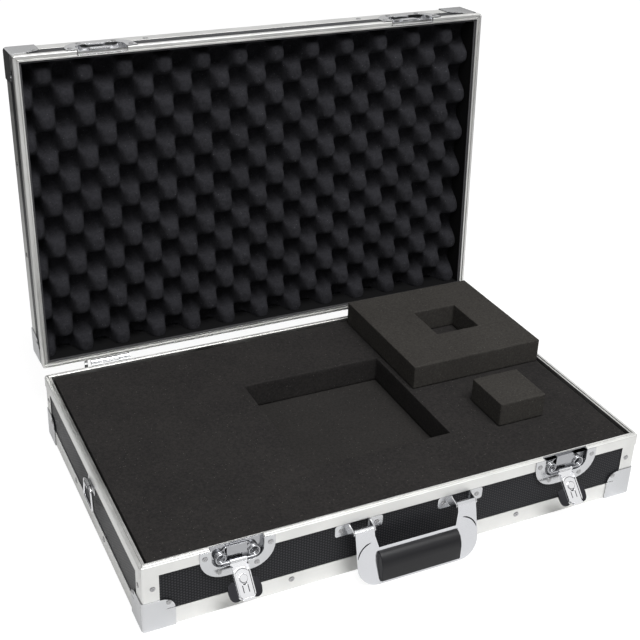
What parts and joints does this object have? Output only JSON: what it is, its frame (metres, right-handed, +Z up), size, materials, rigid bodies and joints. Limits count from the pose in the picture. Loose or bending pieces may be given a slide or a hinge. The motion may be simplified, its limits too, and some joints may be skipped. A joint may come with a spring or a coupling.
{
  "type": "foam-lined flight case",
  "caption": "Shallow aluminium-edged flight case on its underside, lid open, with pick foam, egg-crate foam, butterfly latches and a folding handle.",
  "frame": {"origin": "bottom centre of the open case's box, on the plane of the base's corner caps", "axes": "+X along the case, -Y out of the front with the latches and handle, +Z up"},
  "size_m": [0.6126, 0.4892, 0.4736],
  "materials": {
    "laminated_panel": "black phenolic-faced plywood with a fine embossed pattern, satin",
    "aluminium_profile": "natural anodised extrusion, satin",
    "plated_steel": "bright plated pressed steel",
    "dark_steel": "dark plated pressed steel",
    "moulded_grip": "black moulded plastic, satin",
    "lining": "dark grey plastic strip, matte",
    "pick_foam": "charcoal open-cell foam, matte",
    "pad_foam": "charcoal open-cell foam, matte",
    "egg_crate_foam": "black convoluted open-cell foam, matte"
  },
  "bodies": {
    "base": {"base_floor_panel": "laminated_panel", "base_wall_frame": "laminated_panel", "base_edge_frame": "aluminium_profile", "base_rim_front": "aluminium_profile", "base_rim_right": "aluminium_profile", "base_rim_back": "aluminium_profile", "base_rim_left": "aluminium_profile", "base_corner_post_front_left": "aluminium_profile", "base_corner_post_front_right": "aluminium_profile", "base_corner_post_back_right": "aluminium_profile", "base_corner_post_back_left": "aluminium_profile", "base_corner_cap_front_left": "plated_steel", "base_corner_cap_front_right": "plated_steel", "base_corner_cap_back_right": "plated_steel", "base_corner_cap_back_left": "plated_steel", "latch_dish_left": "plated_steel", "latch_dish_right": "plated_steel", "latch_spring_left": "plated_steel", "latch_spring_right": "plated_steel", "hinge_base_leaf_left": "plated_steel", "hinge_base_leaf_right": "plated_steel", "handle_bracket_left": "plated_steel", "handle_bracket_right": "plated_steel", "strap_bracket_left": "plated_steel", "strap_bracket_right": "plated_steel", "pick_foam": "pick_foam", "foam_base_pad": "pad_foam"},
    "lid": {"lid_top_panel": "laminated_panel", "lid_wall_frame": "laminated_panel", "lid_edge_frame": "aluminium_profile", "lid_rim_front": "aluminium_profile", "lid_rim_right": "aluminium_profile", "lid_rim_back": "aluminium_profile", "lid_rim_left": "aluminium_profile", "lid_corner_post_front_left": "aluminium_profile", "lid_corner_post_front_right": "aluminium_profile", "lid_corner_post_back_right": "aluminium_profile", "lid_corner_post_back_left": "aluminium_profile", "lid_corner_cap_front_left": "plated_steel", "lid_corner_cap_front_right": "plated_steel", "lid_corner_cap_back_right": "plated_steel", "lid_corner_cap_back_left": "plated_steel", "latch_catch_left": "plated_steel", "latch_catch_right": "plated_steel", "hinge_lid_leaf_left": "plated_steel", "hinge_lid_leaf_right": "plated_steel", "lid_lining": "lining", "egg_crate_foam": "egg_crate_foam"},
    "latch_arm_left": {"latch_arm_left": "plated_steel"},
    "latch_hook_left": {"latch_hook_left": "plated_steel"},
    "latch_butterfly_left": {"latch_butterfly_left": "dark_steel"},
    "strap_ring_left": {"strap_ring_left": "plated_steel"},
    "latch_arm_right": {"latch_arm_right": "plated_steel"},
    "latch_hook_right": {"latch_hook_right": "plated_steel"},
    "latch_butterfly_right": {"latch_butterfly_right": "dark_steel"},
    "strap_ring_right": {"strap_ring_right": "plated_steel"},
    "handle": {"handle_frame": "plated_steel", "handle_grip": "moulded_grip"},
    "foam_block": {"foam_block": "pick_foam"},
    "foam_cube": {"foam_cube": "pick_foam"}
  },
  "joints": [
    {"name": "lid_hinge", "type": "hinge", "parent": "base", "child": "lid", "pos_m": [0, 0.1777, 0.0837], "axis": [-1, 0, 0], "range_deg": [-93, 0], "deforming": ["egg_crate_foam"]},
    {"name": "latch_arm_swing_left", "type": "hinge", "parent": "base", "child": "latch_arm_left", "pos_m": [-0.1985, -0.2125, 0.0613], "axis": [-1, 0, 0], "range_deg": [0, 135]},
    {"name": "butterfly_turn_left", "type": "hinge", "parent": "latch_arm_left", "child": "latch_butterfly_left", "pos_m": [-0.1985, -0.23372, 0.04009], "axis": [0, -0.7071, 0.7071], "range_deg": [0, 180]},
    {"name": "hook_slide_left", "type": "slide", "parent": "latch_arm_left", "child": "latch_hook_left", "axis": [0, 0.7071, 0.7071], "range_m": [0, 0.004]},
    {"name": "latch_arm_swing_right", "type": "hinge", "parent": "base", "child": "latch_arm_right", "pos_m": [0.1985, -0.2125, 0.0613], "axis": [-1, 0, 0], "range_deg": [0, 135]},
    {"name": "butterfly_turn_right", "type": "hinge", "parent": "latch_arm_right", "child": "latch_butterfly_right", "pos_m": [0.1985, -0.23372, 0.04009], "axis": [0, -0.7071, 0.7071], "range_deg": [0, 180]},
    {"name": "hook_slide_right", "type": "slide", "parent": "latch_arm_right", "child": "latch_hook_right", "axis": [0, 0.7071, 0.7071], "range_m": [0, 0.004]},
    {"name": "handle_swing", "type": "hinge", "parent": "base", "child": "handle", "pos_m": [0, -0.2211, 0.061], "axis": [-1, 0, 0], "range_deg": [0, 90]},
    {"name": "strap_ring_swing_left", "type": "hinge", "parent": "base", "child": "strap_ring_left", "pos_m": [-0.3033, -0.0345, 0.062], "axis": [0, 1, 0], "range_deg": [0, 90]},
    {"name": "strap_ring_swing_right", "type": "hinge", "parent": "base", "child": "strap_ring_right", "pos_m": [0.3033, -0.0345, 0.062], "axis": [0, -1, 0], "range_deg": [0, 90]},
    {"name": "foam_block_lift", "type": "slide", "parent": "base", "child": "foam_block", "axis": [0, 0, 1], "range_m": [0, 0.1]},
    {"name": "foam_cube_lift", "type": "slide", "parent": "base", "child": "foam_cube", "axis": [0, 0, 1], "range_m": [0, 0.1]}
  ],
  "couplings": [
    {"joint": "hook_slide_left", "follows": "butterfly_turn_left", "m_per_rad": 0.0012732},
    {"joint": "hook_slide_right", "follows": "butterfly_turn_right", "m_per_rad": 0.0012732}
  ]
}
